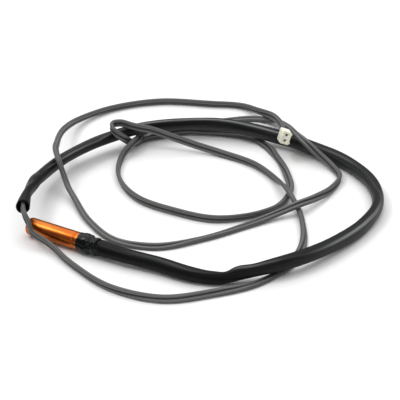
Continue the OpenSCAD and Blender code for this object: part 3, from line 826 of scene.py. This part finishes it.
def softened(node_name, name, radius_mm, segments):
    mesh = bpy.data.objects[node_name].data.copy()
    mesh.name = name
    mesh.materials.clear()
    shape = bmesh.new()
    shape.from_mesh(mesh)
    bmesh.ops.remove_doubles(shape, verts=shape.verts, dist=1e-6)
    bmesh.ops.dissolve_limit(shape, angle_limit=math.radians(1),
                             verts=shape.verts, edges=shape.edges)
    shape.to_mesh(mesh)
    shape.free()
    piece = new_object(name, mesh)
    bevel = piece.modifiers.new("rounded", "BEVEL")
    bevel.width = radius_mm * MM
    bevel.segments = segments
    bevel.limit_method = "ANGLE"
    bevel.angle_limit = math.radians(30)
    made = plain_copy(piece, name)
    made.data.shade_smooth()
    return made


housing = softened("connector_housing", "housing_moulding", EDGE_ROUND, ROUND_SEGMENTS)
housing.data.materials.append(NYLON)
print("housing:", len(housing.data.polygons), "faces, volume", round(volume_of(housing), 1), "mm3")
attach(housing, "root")
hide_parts("connector_housing")

# %% [markdown]
# ## What lies inside
#
# The pieces inside the capsule and the connector keep the frame's own solids. They are seen in a
# cut or when the model is taken apart, so each still gets a true finish: cast resin, a dipped bead,
# tinned wire, thin white tube, stranded copper and tin plate.

# %% Materials of the inner pieces
def speckled(name, grain_mm, dark, light, rough, depth_mm=0.01, stretch=(1, 1, 1), **sockets):
    material, tree, shader = new_material(name, **sockets)
    grain = object_noise(tree, grain_mm, 4, stretch)
    tree.links.new(between(tree, grain.outputs["Fac"], 0.35, 0.7, dark, light),
                   shader.inputs["Base Color"])
    tree.links.new(spread(tree, grain.outputs["Fac"], *rough), shader.inputs["Roughness"])
    roughen(tree, shader, grain.outputs["Fac"], depth_mm, 0.5)
    return material


INNER = {
    speckled("cast_epoxy", 0.5, "#26262a", "#38383c", (0.4, 0.6), IOR=1.55):
        ["potting"],
    speckled("dipped_epoxy", 0.4, "#1c2a44", "#2c3d5e", (0.12, 0.25), IOR=1.55):
        ["thermistor_bead"],
    speckled("tinned_copper", 0.15, "#b6b8ba", "#d2d4d6", (0.25, 0.42), Metallic=1.0):
        ["leg_a", "leg_b", "splice_a", "splice_b"],
    speckled("ptfe_tube", 0.3, "#dcd8ca", "#efece2", (0.3, 0.45), IOR=1.38):
        ["leg_tube_a", "leg_tube_b"],
    speckled("stranded_copper", 0.12, "#b86a34", "#e09a5c", (0.25, 0.45), 0.03, (0.3, 1, 1),
             Metallic=1.0):
        ["core_a", "core_b"],
    speckled("tin_plate", 0.2, "#bdb8aa", "#d8d4c8", (0.22, 0.4), Metallic=1.0):
        ["contact_a", "contact_b"],
}
for material, names in INNER.items():
    for name in names:
        piece = bpy.data.objects[name]
        piece.data.materials.clear()
        piece.data.materials.append(material)
    print(material.name, "on", ", ".join(names))

# %% [markdown]
# ## Table and light
#
# The photograph is a product picture on white: the table has no edge and is almost burnt out, and
# the shadows lie mostly in front of the object. So the main light is a very large softbox above and
# behind it, just bright enough to make the bare table white. Its shadows are softer than the
# photograph's. A small lamp at the left stands where the copper mirrors it as one bright band along
# the capsule. A weak panel just behind the camera opens the faces that look at it, such as the
# connector's, and a dim white world fills the shadows. The picture's gamma is lowered a little,
# because the photograph's shadows are deep.

# %% Table
TABLE_HALF = 4
WHITE, _, _ = new_material("white_table", Base_Color=colour("#f7f7f7"), Roughness=0.9,
                           Specular_IOR_Level=0.1)
corners = [(-TABLE_HALF, -TABLE_HALF, 0), (TABLE_HALF, -TABLE_HALF, 0),
           (TABLE_HALF, TABLE_HALF, 0), (-TABLE_HALF, TABLE_HALF, 0)]
floor = new_object("table", bpy.data.meshes.new("table"))
floor.data.from_pydata(corners, [], [(0, 1, 2, 3)])
floor.data.materials.append(WHITE)
print("table:", 2 * TABLE_HALF, "m square")

# %% Light
BEHIND = Vector((-math.sin(BEARING), math.cos(BEARING), 0))
# Each panel: its name, place, size in metres and watts; all of them face the middle of the picture
PANELS = [("softbox", LOOK_AT + BEHIND * 0.3 + Vector((0, 0, 0.85)), (2, 1.7), 16.5),
          ("lamp", Vector((-0.42, -0.24, 0.82)), (0.3, 0.2), 1.4),
          ("fill", LOOK_AT + to_camera * 0.9, (0.9, 0.5), 1.2)]
WORLD_STRENGTH = 0.22
GAMMA = 0.92
for name, place, size, watts in PANELS:
    light = bpy.data.lights.new(name, "AREA")
    light.shape = "RECTANGLE"
    light.size, light.size_y = size
    light.energy = watts
    made = new_object(name, light)
    made.location = place
    made.rotation_euler = (place - LOOK_AT).to_track_quat("Z", "Y").to_euler()
world = bpy.data.worlds.new("white_room")
world.use_nodes = True
background = world.node_tree.nodes["Background"]
background.inputs["Color"].default_value = (1, 1, 1, 1)
background.inputs["Strength"].default_value = WORLD_STRENGTH
bpy.context.scene.world = world
bpy.context.scene.view_settings.view_transform = "Standard"
bpy.context.scene.view_settings.gamma = GAMMA
